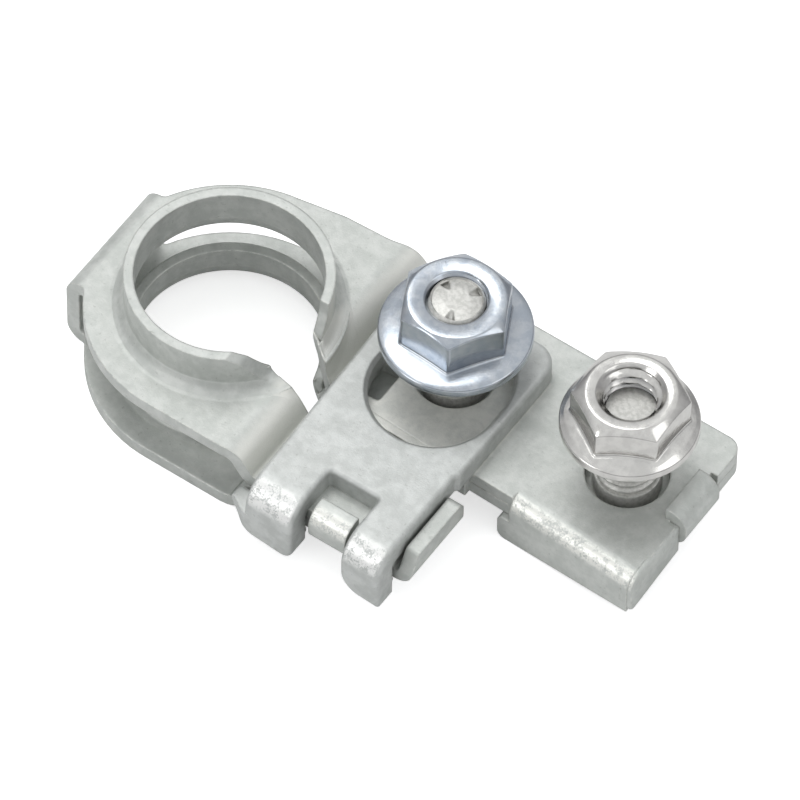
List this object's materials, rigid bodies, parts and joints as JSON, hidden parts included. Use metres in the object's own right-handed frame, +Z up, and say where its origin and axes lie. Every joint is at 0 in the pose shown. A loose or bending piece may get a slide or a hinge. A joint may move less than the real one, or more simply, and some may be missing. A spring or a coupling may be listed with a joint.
{
  "type": "battery terminal clamp",
  "caption": "Folded sheet-metal battery post clamp with a hooked lever, a clamp stud with flange nut, and a cable stud with flange nut.",
  "frame": {"origin": "on the battery post's axis, level with the top face of the arms and the tab, where a cable lug lies", "axes": "+Z up along the post, +X from the ring to the cable tab, +Y towards the arm that carries both studs"},
  "size_m": [0.0641, 0.0332, 0.0192],
  "materials": {
    "tinned_sheet": "matte tin plating",
    "tinned_lever": "matte tin plating, burnished on the bends",
    "stud_metal": "dull tin plating",
    "zinc_nut": "blue passivated zinc",
    "nickel_nut": "bright nickel"
  },
  "bodies": {
    "clamp": {"clamp_body": "tinned_sheet", "clamp_stud": "stud_metal", "terminal_stud": "stud_metal"},
    "lever": {"clamping_lever": "tinned_lever"},
    "clamp_nut_body": {"clamp_nut": "zinc_nut"},
    "terminal_nut_body": {"terminal_nut": "nickel_nut"}
  },
  "joints": [
    {"name": "lever_tilt", "type": "hinge", "parent": "clamp", "child": "lever", "pos_m": [0.0212, -0.0141, -0.0031], "axis": [1, 0, 0], "range_deg": [0, 1.8]},
    {"name": "clamp_nut_travel", "type": "slide", "parent": "clamp", "child": "clamp_nut_body", "axis": [0, 0, 1], "range_m": [-0.003, 0]},
    {"name": "terminal_nut_travel", "type": "slide", "parent": "clamp", "child": "terminal_nut_body", "axis": [0, 0, 1], "range_m": [-0.0052, 0]}
  ]
}
